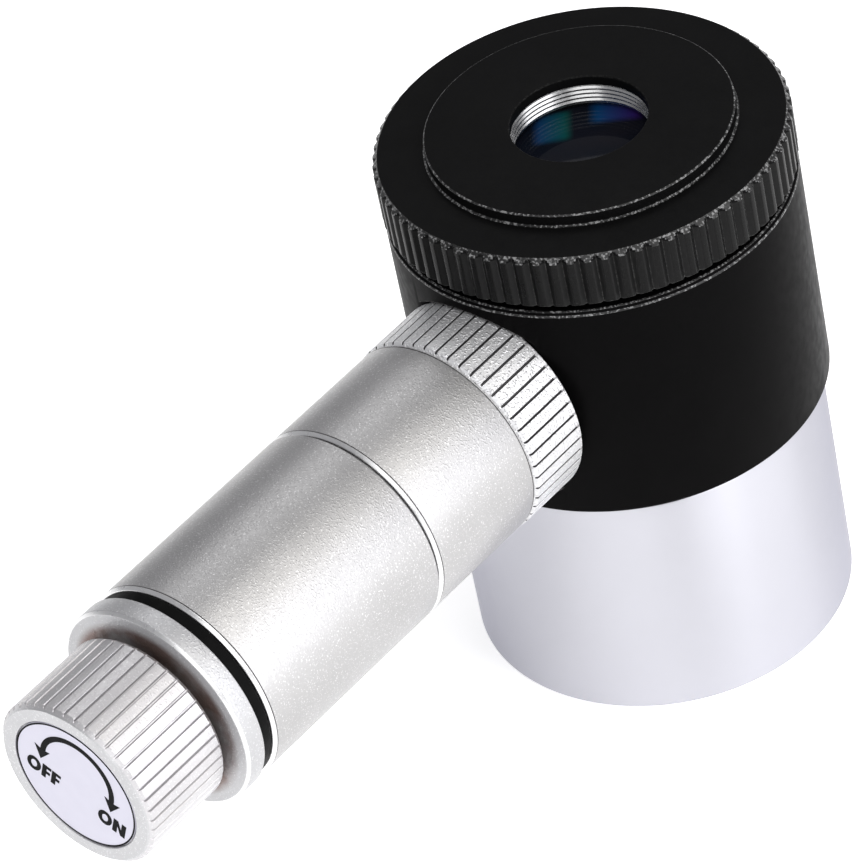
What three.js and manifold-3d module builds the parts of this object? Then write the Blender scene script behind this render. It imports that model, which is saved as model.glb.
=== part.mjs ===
// Illuminated-reticle guiding eyepiece, 1.25 inch, with a battery lamp tube in its side.
// Millimetres. +Z runs up the optical axis from the nosepiece's open end, which lies at z = 0.
// The lamp tube's axis leaves the body along -Y at the height LAMP_HEIGHT.
import * as THREE from 'three';
import { mergeVertices } from 'three/addons/utils/BufferGeometryUtils.js';
import Module from 'manifold-3d';

// ---------------------------------------------------------------- driving dimensions
const BARREL_R = 15.85; // 1.25 inch push-fit barrel, 31.7 mm across
const BARREL_LENGTH = 21.8;
const FILTER_BORE_R = 14.2;
const BODY_R = 16.65;
const BODY_BOTTOM = 21.95;
const BODY_TOP = 42.5;
const RING_R = 16.75;
const RING_BOTTOM = 43.2;
const RING_TOP = 47.8;
const EYE_DISC_R = 12.45;
const EYE_DISC_TOP = 48.85;
const EYE_HOLE_R = 5.55;
const LENS_R = 6.4;

const LAMP_HEIGHT = 32;
const STEM_R = 2.95; // threaded nipple that screws into the body
const STEM_TIP = 12.9;
const SEAT = 15.6; // flat on the body that the knurled collar rests against
const COLLAR_R = 9.1;
const COLLAR_END = 21.7;
const TUBE_R = 9;
const TUBE_BORE_R = 7.6;
const SEAM = 33.55; // joint between the lamp half and the battery half of the tube
const TUBE_END = 53.6;
const CAP_START = 54.8;
const CAP_END = 56.65;
const KNOB_START = 57.4;
const KNOB_END = 66;
const KNOB_R = 7.4;
const KNOB_FLUTES = 45;
const LABEL_R = 5.85;
const CELL_R = 5.8; // LR44 button cell
const CELL_HEIGHT = 5.4;

const FIT = 0.3; // radial room of a thread or a sliding fit
const SEAT_GAP = 0.05; // room between two faces that rest on each other
const BEVEL = 0.3;
const FINE = 40; // sides of the large round pieces
const COARSE = 24; // sides of the small and inner round pieces

// ---------------------------------------------------------------- materials
const surface = (color, roughness, metalness) =>
  new THREE.MeshStandardMaterial({ color, roughness, metalness });
const blackAnodised = () => surface('#171717', 0.42, 0.3);
const mattBlack = () => surface('#101010', 0.8, 0.1);
const satinChrome = () => surface('#dcdce4', 0.24, 1);
const blastedAluminium = () => surface('#c9c9c6', 0.45, 1);
const turnedAluminium = () => surface('#d2d2d4', 0.3, 1);
const brass = () => surface('#c8a24a', 0.35, 1);
const nickel = () => surface('#bdb9b0', 0.3, 1);
const glass = () => {
  const clear = surface('#cfe6ea', 0.04, 0);
  clear.transparent = true;
  clear.opacity = 0.35;
  return clear;
};

// ---------------------------------------------------------------- outlines: [radius, distance along the axis]
// A ring's outline closes on itself, and its outer ends may be bevelled.
function ringOutline(inner, outer, from, to, bevelFrom = 0, bevelTo = 0) {
  const outline = [[inner, from], [outer - bevelFrom, from]];
  if (bevelFrom) outline.push([outer, from + bevelFrom]);
  if (bevelTo) outline.push([outer, to - bevelTo]);
  outline.push([outer - bevelTo, to], [inner, to], [inner, from]);
  return outline;
}

// A solid disc's outline starts and ends on the axis.
function discOutline(outer, from, to, bevelFrom = 0, bevelTo = 0) {
  const outline = ringOutline(0, outer, from, to, bevelFrom, bevelTo);
  outline.pop();
  return outline;
}

// One lens surface from the axis to the rim. A positive bend curves up towards the rim.
function lensSurface(vertex, curvature, bend, steps = 4) {
  const points = [];
  for (let step = 0; step <= steps; step += 1) {
    const radius = (LENS_R * step) / steps;
    const sag = curvature - Math.sqrt(curvature ** 2 - radius ** 2);
    points.push([radius, vertex + bend * sag]);
  }
  return points;
}

const lensOutline = (lower, upper) => [...lower, ...upper.reverse()];

// ---------------------------------------------------------------- solids about the local Y axis
function turned(outline, sides) {
  const points = outline.map(([radius, along]) => new THREE.Vector2(radius, along));
  return new THREE.LatheGeometry(points, sides);
}

function prism(shape, from, to) {
  const geometry = new THREE.ExtrudeGeometry(shape, {
    depth: to - from, bevelEnabled: false, curveSegments: COARSE / 2,
  });
  geometry.rotateX(-Math.PI / 2);
  geometry.translate(0, from, 0);
  return geometry;
}

function polygon(points) {
  return new THREE.Shape(points.map(([x, y]) => new THREE.Vector2(x, y)));
}

function roundHole(shape, radius) {
  const hole = new THREE.Path();
  hole.absarc(0, 0, radius, 0, 2 * Math.PI, true);
  shape.holes.push(hole);
  return shape;
}

// ---------------------------------------------------------------- joining and cutting
const wasm = await Module();
wasm.setup();

function toSolid(geometry) {
  const bare = geometry.clone();
  bare.deleteAttribute('normal');
  bare.deleteAttribute('uv');
  const merged = mergeVertices(bare);
  const corners = merged.index.array;
  const triangles = [];
  for (let i = 0; i < corners.length; i += 3) {
    const [a, b, c] = corners.slice(i, i + 3);
    if (a !== b && b !== c && c !== a) triangles.push(a, b, c);
  }
  return new wasm.Manifold(new wasm.Mesh({
    numProp: 3,
    vertProperties: new Float32Array(merged.attributes.position.array),
    triVerts: new Uint32Array(triangles),
  }));
}

function toGeometry(solid) {
  const mesh = solid.getMesh();
  const geometry = new THREE.BufferGeometry();
  geometry.setAttribute('position', new THREE.BufferAttribute(mesh.vertProperties, 3));
  geometry.setIndex(new THREE.BufferAttribute(mesh.triVerts, 1));
  geometry.computeVertexNormals();
  return geometry;
}

const cut = (blank, ...tools) =>
  toGeometry(tools.reduce((solid, tool) => solid.subtract(toSolid(tool)), toSolid(blank)));

const common = (first, second) => toGeometry(toSolid(first).intersect(toSolid(second)));

// A round bar across the optical axis, on the lamp tube's axis, in the eyepiece's local frame.
function crossBar(radius, from, to) {
  const bar = new THREE.CylinderGeometry(radius, radius, to - from, COARSE);
  bar.rotateX(Math.PI / 2);
  bar.translate(0, LAMP_HEIGHT, (from + to) / 2);
  return bar;
}

// ---------------------------------------------------------------- scene graph
const eyepiece = new THREE.Group(); // local Y is the optical axis
eyepiece.rotation.x = Math.PI / 2;

const lamp = new THREE.Group(); // local Y runs outwards along the lamp tube
lamp.rotation.x = Math.PI;
lamp.position.z = LAMP_HEIGHT;

function add(group, name, geometry, material) {
  const mesh = new THREE.Mesh(geometry, material);
  mesh.name = name;
  group.add(mesh);
  return mesh;
}

// ---------------------------------------------------------------- nosepiece and body
const NECK_R = 13.7; // threaded neck that holds the nosepiece in the body
const NECK_TOP = 27.6;
const NECK_BORE_R = 12;
const CHAMBER_R = 12.6; // room for the crosshair cell
const CHAMBER_TOP = 35.2;
const CELL_THREAD_R = 14.3; // thread that the lens cell runs in
const SPOT_FACE_R = COLLAR_R + FIT;
const PORT_R = STEM_R + 0.2;

function nosepiece() {
  const barrelBoreR = 14;
  const filterThreadTop = 4.6;
  const ledge = 19.5;
  return turned([
    [FILTER_BORE_R, 0],
    [BARREL_R - BEVEL, 0],
    [BARREL_R, BEVEL],
    [BARREL_R, BARREL_LENGTH - BEVEL],
    [BARREL_R - BEVEL, BARREL_LENGTH],
    [NECK_R, BARREL_LENGTH],
    [NECK_R, NECK_TOP],
    [NECK_BORE_R, NECK_TOP],
    [NECK_BORE_R, ledge],
    [barrelBoreR, ledge],
    [barrelBoreR, filterThreadTop],
    [FILTER_BORE_R, filterThreadTop],
    [FILTER_BORE_R, 0],
  ], FINE);
}

function bodyShell() {
  const neckThreadR = NECK_R + FIT;
  const neckThreadTop = NECK_TOP + FIT;
  const blank = turned([
    [neckThreadR, BODY_BOTTOM],
    [BODY_R - BEVEL, BODY_BOTTOM],
    [BODY_R, BODY_BOTTOM + BEVEL],
    [BODY_R, BODY_TOP - BEVEL],
    [BODY_R - BEVEL, BODY_TOP],
    [CELL_THREAD_R, BODY_TOP],
    [CELL_THREAD_R, CHAMBER_TOP],
    [CHAMBER_R, CHAMBER_TOP],
    [CHAMBER_R, neckThreadTop],
    [neckThreadR, neckThreadTop],
    [neckThreadR, BODY_BOTTOM],
  ], FINE);
  const port = crossBar(PORT_R, CHAMBER_R - 2, BODY_R + 2);
  const spotFace = crossBar(SPOT_FACE_R, SEAT - SEAT_GAP, BODY_R + 2);
  return cut(blank, port, spotFace);
}

add(eyepiece, 'nosepiece', nosepiece(), satinChrome());
add(eyepiece, 'body_shell', bodyShell(), blackAnodised());

// ---------------------------------------------------------------- crosshair
const RETICLE_BOTTOM = 31.2;
const RETICLE_TOP = 32.8;
const RETICLE_R = 9.6;

function reticleCell() {
  const bottom = NECK_TOP + 0.4;
  const top = 34.4;
  const apertureR = 7;
  const blank = turned([
    [apertureR, bottom],
    [CHAMBER_R - FIT, bottom],
    [CHAMBER_R - FIT, top],
    [RETICLE_R + FIT, top],
    [RETICLE_R + FIT, RETICLE_BOTTOM - SEAT_GAP],
    [apertureR, RETICLE_BOTTOM - SEAT_GAP],
    [apertureR, bottom],
  ], COARSE);
  const lampWindow = crossBar(1.9, RETICLE_R - 2, CHAMBER_R + 1);
  return cut(blank, lampWindow);
}

add(eyepiece, 'reticle_cell', reticleCell(), mattBlack());
add(eyepiece, 'reticle_glass', turned(discOutline(RETICLE_R, RETICLE_BOTTOM, RETICLE_TOP), COARSE), glass());
add(
  eyepiece,
  'reticle_retainer',
  turned(ringOutline(7.2, RETICLE_R, RETICLE_TOP + SEAT_GAP, 34.3), COARSE),
  mattBlack(),
);

// ---------------------------------------------------------------- lens cell, two cemented pairs, crowns facing
const CELL_BOTTOM = 35.6;
const CELL_TOP = 47;
const CELL_NECK_R = 13.4;
const CELL_BORE_R = 8.3;
const CEMENT = 0.05;

function lensCell() {
  const threadTop = 42.9;
  const threadR = CELL_THREAD_R - FIT;
  const apertureR = 5.6;
  const lensSeatR = LENS_R + 0.1;
  const lensSeatBottom = 36.15;
  const boreBottom = 43.5;
  return turned([
    [apertureR, CELL_BOTTOM],
    [threadR, CELL_BOTTOM],
    [threadR, threadTop],
    [CELL_NECK_R, threadTop],
    [CELL_NECK_R, CELL_TOP],
    [CELL_BORE_R, CELL_TOP],
    [CELL_BORE_R, boreBottom],
    [lensSeatR, boreBottom],
    [lensSeatR, lensSeatBottom],
    [apertureR, lensSeatBottom],
    [apertureR, CELL_BOTTOM],
  ], FINE);
}

const FACE_BEND = 60; // nearly flat outer faces of the two flints
const CEMENT_BEND = 11;
const CROWN_BEND = 14;

const fieldFlint = turned(lensOutline(
  lensSurface(35.9, FACE_BEND, 1),
  lensSurface(36.7, CEMENT_BEND, 1),
), COARSE);
const fieldCrown = turned(lensOutline(
  lensSurface(36.7 + CEMENT, CEMENT_BEND, 1),
  lensSurface(40.8, CROWN_BEND, -1),
), COARSE);
const eyeCrown = turned(lensOutline(
  lensSurface(41.1, CROWN_BEND, 1),
  lensSurface(45.2 - CEMENT, CEMENT_BEND, -1),
), COARSE);
const eyeFlint = turned(lensOutline(
  lensSurface(45.2, CEMENT_BEND, -1),
  lensSurface(46, FACE_BEND, -1),
), COARSE);

// The eye lens is held down by a bright ring whose threaded bore shows through the eye hole.
const eyeRetainer = turned([
  [LENS_R + 0.15, 43.6],
  [CELL_BORE_R - 0.2, 43.6],
  [CELL_BORE_R - 0.2, 47.85],
  [EYE_HOLE_R, 47.85],
  [EYE_HOLE_R, 46.15],
  [LENS_R + 0.15, 46.15],
  [LENS_R + 0.15, 43.6],
], COARSE);

function dioptreRing() {
  const boreR = CELL_NECK_R + FIT;
  const plateBottom = 47.15;
  const retainerRoomR = CELL_BORE_R + 0.1;
  const retainerRoomTop = 47.95;
  return turned([
    [boreR, RING_BOTTOM],
    [RING_R - BEVEL, RING_BOTTOM],
    [RING_R, RING_BOTTOM + BEVEL],
    [RING_R, RING_TOP - BEVEL],
    [RING_R - BEVEL, RING_TOP],
    [EYE_DISC_R, RING_TOP],
    [EYE_DISC_R, EYE_DISC_TOP],
    [EYE_HOLE_R, EYE_DISC_TOP],
    [EYE_HOLE_R, retainerRoomTop],
    [retainerRoomR, retainerRoomTop],
    [retainerRoomR, plateBottom],
    [boreR, plateBottom],
    [boreR, RING_BOTTOM],
  ], FINE);
}

add(eyepiece, 'lens_cell', lensCell(), blackAnodised());
add(eyepiece, 'field_flint', fieldFlint, glass());
add(eyepiece, 'field_crown', fieldCrown, glass());
add(
  eyepiece,
  'lens_spacer',
  turned(ringOutline(LENS_R - 0.5, LENS_R, 39.55, 42.35), COARSE),
  mattBlack(),
);
add(eyepiece, 'eye_crown', eyeCrown, glass());
add(eyepiece, 'eye_flint', eyeFlint, glass());
add(eyepiece, 'eye_retainer', eyeRetainer, turnedAluminium());
add(eyepiece, 'dioptre_ring', dioptreRing(), blackAnodised());

// ---------------------------------------------------------------- lamp: stem, light-emitting diode and its board
const STEM_FLANGE = 18.5;
const LED_R = 1.5;
const BOARD = 20;

const stem = turned([
  [LED_R + FIT, STEM_TIP],
  [STEM_R - 0.2, STEM_TIP],
  [STEM_R, STEM_TIP + 0.2],
  [STEM_R, STEM_FLANGE],
  [5, STEM_FLANGE],
  [5, STEM_FLANGE + 0.8],
  [LED_R + 0.75, STEM_FLANGE + 0.8],
  [LED_R + 0.75, STEM_FLANGE - 0.8],
  [LED_R + FIT, STEM_FLANGE - 0.8],
  [LED_R + FIT, STEM_TIP],
], COARSE);

function ledLamp() {
  const tip = 13.4;
  const outline = [];
  for (let step = 0; step <= 4; step += 1) {
    const angle = (step / 4) * (Math.PI / 2);
    outline.push([LED_R * Math.sin(angle), tip + LED_R * (1 - Math.cos(angle))]);
  }
  outline.push([LED_R, 17.8], [LED_R + 0.4, 17.8], [LED_R + 0.4, 18.6], [0, 18.6]);
  return turned(outline, COARSE / 2);
}

add(lamp, 'illuminator_stem', stem, turnedAluminium());
add(lamp, 'led_lamp', ledLamp(), surface('#c4231c', 0.15, 0));
for (const [name, side] of [['led_lead_anode', -1], ['led_lead_cathode', 1]]) {
  const lead = turned(discOutline(0.25, 18.7, BOARD - SEAT_GAP), 8);
  add(lamp, name, lead, nickel()).position.z = side * 0.8;
}
add(lamp, 'led_board', turned(discOutline(6.2, BOARD, BOARD + 1), COARSE), surface('#2d6b3a', 0.6, 0));

// ---------------------------------------------------------------- lamp half of the tube
const SPIGOT_R = TUBE_BORE_R;
const COUPLING_R = 8.2; // male thread that the battery half screws onto
const COUPLING_END = 38;
const GROOVE = 0.25; // half of the V groove at the seam

const knurledCollar = turned([
  [STEM_R + FIT, SEAT],
  [COLLAR_R - BEVEL, SEAT],
  [COLLAR_R, SEAT + BEVEL],
  [COLLAR_R, COLLAR_END - BEVEL],
  [COLLAR_R - BEVEL, COLLAR_END],
  [SPIGOT_R + FIT, COLLAR_END],
  [SPIGOT_R + FIT, STEM_FLANGE - 0.1],
  [STEM_R + FIT, STEM_FLANGE - 0.1],
  [STEM_R + FIT, SEAT],
], FINE);

const frontTube = turned([
  [6.6, STEM_FLANGE + 0.1],
  [SPIGOT_R, STEM_FLANGE + 0.1],
  [SPIGOT_R, COLLAR_END + SEAT_GAP],
  [TUBE_R, COLLAR_END + SEAT_GAP],
  [TUBE_R, SEAM - SEAT_GAP - GROOVE],
  [TUBE_R - GROOVE, SEAM - SEAT_GAP],
  [COUPLING_R, SEAM - SEAT_GAP],
  [COUPLING_R, COUPLING_END],
  [TUBE_BORE_R, COUPLING_END],
  [TUBE_BORE_R, 24],
  [6.6, 24],
  [6.6, STEM_FLANGE + 0.1],
], FINE);

// A cone-shaped spring presses the button cells against the rear contact.
function contactSpring() {
  const turns = 3.5;
  const start = 33.2;
  const height = 2.6;
  const coil = new THREE.Curve();
  coil.getPoint = (t, target = new THREE.Vector3()) => {
    const angle = 2 * Math.PI * turns * t;
    const radius = 4.4 - 1.9 * t;
    return target.set(radius * Math.cos(angle), start + height * t, radius * Math.sin(angle));
  };
  const wire = polygon([[0.2, 0], [0, 0.2], [-0.2, 0], [0, -0.2]]);
  return new THREE.ExtrudeGeometry(wire, { steps: 56, extrudePath: coil, bevelEnabled: false });
}

add(lamp, 'knurled_collar', knurledCollar, blastedAluminium());
add(lamp, 'front_tube', frontTube, blastedAluminium());
add(
  lamp,
  'front_insulator',
  turned(discOutline(TUBE_BORE_R - FIT, 31.2, 32.6), COARSE),
  surface('#e6e4da', 0.6, 0),
);
add(lamp, 'front_contact', turned(discOutline(5, 32.6 + SEAT_GAP, 32.9), COARSE), brass());
add(lamp, 'contact_spring', contactSpring(), nickel());

// ---------------------------------------------------------------- battery half of the tube
const FIRST_CELL = 36.3;
const SLEEVE_END = 47.9;

const rearTube = turned([
  [COUPLING_R + FIT, SEAM + SEAT_GAP],
  [TUBE_R - GROOVE, SEAM + SEAT_GAP],
  [TUBE_R, SEAM + SEAT_GAP + GROOVE],
  [TUBE_R, TUBE_END - 0.5],
  [TUBE_R - 0.4, TUBE_END],
  [TUBE_BORE_R, TUBE_END],
  [TUBE_BORE_R, COUPLING_END + FIT],
  [COUPLING_R + FIT, COUPLING_END + FIT],
  [COUPLING_R + FIT, SEAM + SEAT_GAP],
], FINE);

// A button cell: steel can with a raised, narrower anode cap towards the lamp.
function buttonCell(start) {
  const cap = 0.6;
  return turned([
    [0, start],
    [CELL_R - 1.1, start],
    [CELL_R - 0.9, start + cap],
    [CELL_R, start + cap + 0.1],
    [CELL_R, start + CELL_HEIGHT],
    [0, start + CELL_HEIGHT],
  ], COARSE);
}

add(lamp, 'rear_tube', rearTube, blastedAluminium());
add(
  lamp,
  'battery_sleeve',
  turned(ringOutline(CELL_R + 0.2, TUBE_BORE_R - FIT, FIRST_CELL - 1, SLEEVE_END), COARSE),
  surface('#f0efe8', 0.5, 0),
);
for (const index of [0, 1]) {
  const start = FIRST_CELL + index * (CELL_HEIGHT + SEAT_GAP);
  add(lamp, `button_cell_${index + 1}`, buttonCell(start), nickel());
}

// ---------------------------------------------------------------- end cap, seal and dimmer
const POT_START = 48.4;
const POT_END = 51;
const BUSHING_R = 3;
const BUSHING_END = 58.9;
const SHAFT_R = 1.5;

const endCap = turned([
  [BUSHING_R + FIT, POT_END + 0.2],
  [TUBE_BORE_R - FIT, POT_END + 0.2],
  [TUBE_BORE_R - FIT, CAP_START],
  [TUBE_R, CAP_START],
  [TUBE_R, CAP_END - 0.55],
  [TUBE_R - 0.6, CAP_END],
  [BUSHING_R + FIT, CAP_END],
  [BUSHING_R + FIT, POT_END + 0.2],
], FINE);

function hexNut() {
  const acrossFlats = 8;
  const cornerR = acrossFlats / Math.sqrt(3);
  const corners = [];
  for (let corner = 0; corner < 6; corner += 1) {
    const angle = (corner * Math.PI) / 3;
    corners.push([cornerR * Math.cos(angle), cornerR * Math.sin(angle)]);
  }
  return prism(roundHole(polygon(corners), BUSHING_R + 0.15), 57.2, 58.7);
}

add(
  lamp,
  'seal_ring',
  turned(ringOutline(TUBE_BORE_R - FIT + 0.1, TUBE_R - 0.25, TUBE_END + SEAT_GAP, CAP_START - SEAT_GAP), FINE),
  surface('#0b0b0b', 0.7, 0),
);
add(lamp, 'end_cap', endCap, turnedAluminium());
add(lamp, 'rear_contact', turned(discOutline(4.5, SLEEVE_END - 0.3, POT_START - 0.1), COARSE), brass());
add(lamp, 'dimmer_body', turned(discOutline(6.9, POT_START, POT_END), COARSE), surface('#26303a', 0.5, 0));
add(
  lamp,
  'dimmer_bushing',
  turned(ringOutline(SHAFT_R + 0.2, BUSHING_R, POT_END + SEAT_GAP, BUSHING_END), COARSE),
  nickel(),
);
add(lamp, 'lock_washer', turned(ringOutline(BUSHING_R + 0.15, 4.4, CAP_END + SEAT_GAP, 57.1), COARSE), nickel());
add(lamp, 'lock_nut', hexNut(), nickel());

// ---------------------------------------------------------------- fluted knob on the dimmer's shaft
const KNOB_BORE_R = 3.7;
const NUT_ROOM_R = 5.3;
const NUT_ROOM_END = 59.1;
const LABEL_RECESS = 0.35;

function knob() {
  const fluteDepth = 0.3;
  const pitch = (2 * Math.PI) / KNOB_FLUTES;
  const outline = [];
  for (let flute = 0; flute < KNOB_FLUTES; flute += 1) {
    for (const [share, depth] of [[0.18, 0], [0.82, 0], [1, fluteDepth]]) {
      const angle = (flute + share) * pitch;
      const radius = KNOB_R - depth;
      outline.push([radius * Math.cos(angle), radius * Math.sin(angle)]);
    }
  }
  const fluted = prism(polygon(outline), KNOB_START - 1, KNOB_END + 1);
  const envelope = turned([
    [0, KNOB_START],
    [KNOB_R - 0.4, KNOB_START],
    [KNOB_R + 0.1, KNOB_START + 0.5],
    [KNOB_R + 0.1, KNOB_END - 0.35],
    [KNOB_R - 0.35, KNOB_END],
    [LABEL_R + 0.05, KNOB_END],
    [LABEL_R + 0.05, KNOB_END - LABEL_RECESS],
    [0, KNOB_END - LABEL_RECESS],
  ], FINE);
  const bore = turned([
    [0, KNOB_START - 1],
    [NUT_ROOM_R, KNOB_START - 1],
    [NUT_ROOM_R, NUT_ROOM_END],
    [KNOB_BORE_R, NUT_ROOM_END],
    [KNOB_BORE_R, 64.4],
    [0, 64.4],
  ], COARSE);
  return cut(common(fluted, envelope), bore);
}

add(lamp, 'dimmer_shaft', turned(discOutline(SHAFT_R, POT_END + 0.4, 64, 0, 0.2), COARSE / 2), nickel());
add(
  lamp,
  'knob_core',
  turned(ringOutline(SHAFT_R + 0.15, KNOB_BORE_R - 0.2, NUT_ROOM_END + 0.1, 64.2), COARSE),
  brass(),
);
add(lamp, 'knob', knob(), turnedAluminium());
add(
  lamp,
  'knob_label',
  turned(discOutline(LABEL_R - 0.05, KNOB_END - LABEL_RECESS + SEAT_GAP, KNOB_END - 0.05), FINE),
  surface('#e6e6f4', 0.4, 0),
);

const assembly = new THREE.Group();
assembly.add(eyepiece, lamp);
export default assembly;
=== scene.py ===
"""Looks of an illuminated-reticle guiding eyepiece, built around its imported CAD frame.

Outlines are in millimetres: (radius, distance along the axis). A third number, where there is one, is the
radius that a knurl's grooves are measured down from at that point.
"""

import math

import bmesh
import bpy
from mathutils import Matrix, Vector


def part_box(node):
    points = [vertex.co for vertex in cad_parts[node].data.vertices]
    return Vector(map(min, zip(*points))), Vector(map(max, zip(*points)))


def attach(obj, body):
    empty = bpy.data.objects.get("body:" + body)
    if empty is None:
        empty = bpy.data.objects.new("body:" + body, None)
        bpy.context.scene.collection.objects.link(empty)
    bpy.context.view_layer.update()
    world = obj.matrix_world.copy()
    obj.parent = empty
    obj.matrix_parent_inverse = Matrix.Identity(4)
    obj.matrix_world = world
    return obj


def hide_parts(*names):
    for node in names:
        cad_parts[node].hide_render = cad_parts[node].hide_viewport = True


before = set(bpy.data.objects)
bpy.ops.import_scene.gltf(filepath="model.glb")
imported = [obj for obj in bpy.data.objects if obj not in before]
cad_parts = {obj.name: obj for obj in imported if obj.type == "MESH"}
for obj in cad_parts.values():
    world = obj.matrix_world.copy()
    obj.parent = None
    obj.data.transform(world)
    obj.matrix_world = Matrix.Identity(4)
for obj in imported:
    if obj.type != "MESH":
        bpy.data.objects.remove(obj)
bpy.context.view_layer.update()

# ---------------------------------------------------------------- sizes
MM = 0.001
SMOOTH_SIDES = 192  # sides of the large round pieces
SMALL_SIDES = 96  # sides of the small and inner ones
LAMP_SIDES = 48
CIRCLE_POINTS = 160  # the printed circle
SHARP_ANGLE = math.radians(38)  # edges sharper than this are shaded as edges
WELD = 0.002 * MM  # points nearer than this are joined after a cut


def upright(node):
    """Outer radius, lowest and highest point of a node about the optical axis, in millimetres."""
    low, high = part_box(node)
    return high.x / MM, low.z / MM, high.z / MM


def outward(node):
    """Outer radius, inner end and outer end of a node along the lamp tube, in millimetres."""
    low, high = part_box(node)
    return high.x / MM, -high.y / MM, -low.y / MM


knob_low, knob_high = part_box("knob")
LAMP_HEIGHT = (knob_low.z + knob_high.z) / 2
OPTICAL_AXIS = Matrix.Scale(MM, 4)
LAMP_AXIS = Matrix((
    (MM, 0, 0, 0),
    (0, 0, -MM, 0),
    (0, MM, 0, LAMP_HEIGHT),
    (0, 0, 0, 1),
))


# ---------------------------------------------------------------- outlines
def soften(outline, size=0.12, steps=3, closed=True):
    """Rounds every corner of an outline with a small arc."""
    rounded = []
    count = len(outline)
    for i, corner in enumerate(outline):
        if not closed and i in (0, count - 1):
            rounded.append(corner)
            continue
        here = Vector(corner[:2])
        back = Vector(outline[i - 1][:2]) - here
        on = Vector(outline[(i + 1) % count][:2]) - here
        if min(back.length, on.length) < 1e-6 or abs(back.angle(on) - math.pi) < 0.05:
            rounded.append(corner)
            continue
        reach = min(size, 0.42 * back.length, 0.42 * on.length)
        start = here + back.normalized() * reach
        end = here + on.normalized() * reach
        for step in range(steps + 1):
            t = step / steps
            point = start * (1 - t) ** 2 + here * 2 * t * (1 - t) + end * t ** 2
            rounded.append((point.x, point.y, *corner[2:]))
    return rounded


def line(start, end, steps, *knurl):
    """Points from start to end, both included."""
    return [
        (start[0] + (end[0] - start[0]) * i / steps, start[1] + (end[1] - start[1]) * i / steps, *knurl)
        for i in range(steps + 1)
    ]


def thread(crest, root, start, end, pitch):
    """Ridges of a fine thread between two places along the axis."""
    turns = max(1, int(abs(end - start) / pitch))
    step = (end - start) / turns
    ridges = []
    for i in range(turns):
        at = start + i * step
        ridges += [
            (root, at + 0.06 * step),
            (crest, at + 0.44 * step),
            (crest, at + 0.56 * step),
            (root, at + 0.94 * step),
        ]
    return ridges


def lens_face(radius, vertex, curvature, bend, steps=20):
    """One spherical lens face from the axis to the rim."""
    face = []
    for i in range(steps + 1):
        r = radius * i / steps
        sag = curvature - math.sqrt(curvature ** 2 - r ** 2)
        face.append((r, vertex + bend * sag))
    return face


# ---------------------------------------------------------------- shapes: (points, faces)
def plain(sides):
    """Columns of a smooth round surface."""
    return [(2 * math.pi * i / sides, 0) for i in range(sides)]


def knurled(count, groove):
    """Columns of a straight knurl. groove lists (share of the pitch, depth)."""
    return [
        (2 * math.pi * (tooth + share) / count, depth)
        for tooth in range(count)
        for share, depth in groove
    ]


def turned(outline, columns, closed=True):
    """A solid of revolution about local z, with grooves cut where the outline says so."""
    points, rings = [], []
    for radius, along, *knurl in outline:
        if radius == 0:
            rings.append([len(points)])
            points.append((0, 0, along))
            continue
        ring = []
        for angle, depth in columns:
            r = min(radius, knurl[0] - depth) if knurl else radius
            ring.append(len(points))
            points.append((r * math.cos(angle), r * math.sin(angle), along))
        rings.append(ring)
    pairs = list(zip(rings, rings[1:]))
    if closed:
        pairs.append((rings[-1], rings[0]))
    faces = []
    for lower, upper in pairs:
        for i in range(len(columns)):
            j = (i + 1) % len(columns)
            corners = [
                lower[i % len(lower)], lower[j % len(lower)],
                upper[j % len(upper)], upper[i % len(upper)],
            ]
            corners = list(dict.fromkeys(corners))
            if len(corners) > 2:
                faces.append(corners)
    return points, faces


def together(*shapes):
    """Several shapes as one."""
    points, faces = [], []
    for more_points, more_faces in shapes:
        start = len(points)
        points += more_points
        faces += [[start + i for i in face] for face in more_faces]
    return points, faces


def plate(outline, low, high):
    """A flat plate with the given outline."""
    count = len(outline)
    points = [(x, y, low) for x, y in outline] + [(x, y, high) for x, y in outline]
    faces = [list(range(count))[::-1], list(range(count, 2 * count))]
    faces += [[i, (i + 1) % count, count + (i + 1) % count, count + i] for i in range(count)]
    return points, faces


def band(outer, inner, low, high):
    """A flat plate with a hole: outer and inner have the same number of points."""
    count = len(outer)
    points = [(x, y, z) for z in (low, high) for ring in (outer, inner) for x, y in ring]
    faces = []
    for i in range(count):
        j = (i + 1) % count
        low_out, low_in, high_out, high_in = (k * count for k in range(4))
        faces += [
            [low_out + i, low_in + i, low_in + j, low_out + j],
            [high_out + i, high_out + j, high_in + j, high_in + i],
            [low_out + i, low_out + j, high_out + j, high_out + i],
            [low_in + i, high_in + i, high_in + j, low_in + j],
        ]
    return points, faces


def oval(x, y, rx, ry, count=48):
    """Outline of an ellipse round x, y."""
    return [
        (x + rx * math.cos(2 * math.pi * i / count), y + ry * math.sin(2 * math.pi * i / count))
        for i in range(count)
    ]


# ---------------------------------------------------------------- pieces
def to_mesh(name, shape, place):
    """A mesh of a shape, set in its place, with its faces turned outwards."""
    points, faces = shape
    mesh = bpy.data.meshes.new(name)
    mesh.from_pydata([place @ Vector(p) for p in points], [], faces)
    shell = bmesh.new()
    shell.from_mesh(mesh)
    bmesh.ops.recalc_face_normals(shell, faces=shell.faces)
    shell.to_mesh(mesh)
    shell.free()
    return mesh


def finish_mesh(mesh):
    """Smooth shading that stops at sharp edges."""
    mesh.polygons.foreach_set("use_smooth", [True] * len(mesh.polygons))
    mesh.set_sharp_from_angle(angle=SHARP_ANGLE)
    mesh.update()


def piece(name, shape, place, look, body, slot, *nodes):
    """A new piece that rides on a body and stands for the CAD nodes named."""
    mesh = to_mesh(name, shape, place)
    finish_mesh(mesh)
    made = bpy.data.objects.new(name, mesh)
    bpy.context.scene.collection.objects.link(made)
    mesh.materials.append(look)
    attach(made, body)
    if nodes:
        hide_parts(*nodes)
    return made


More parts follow.
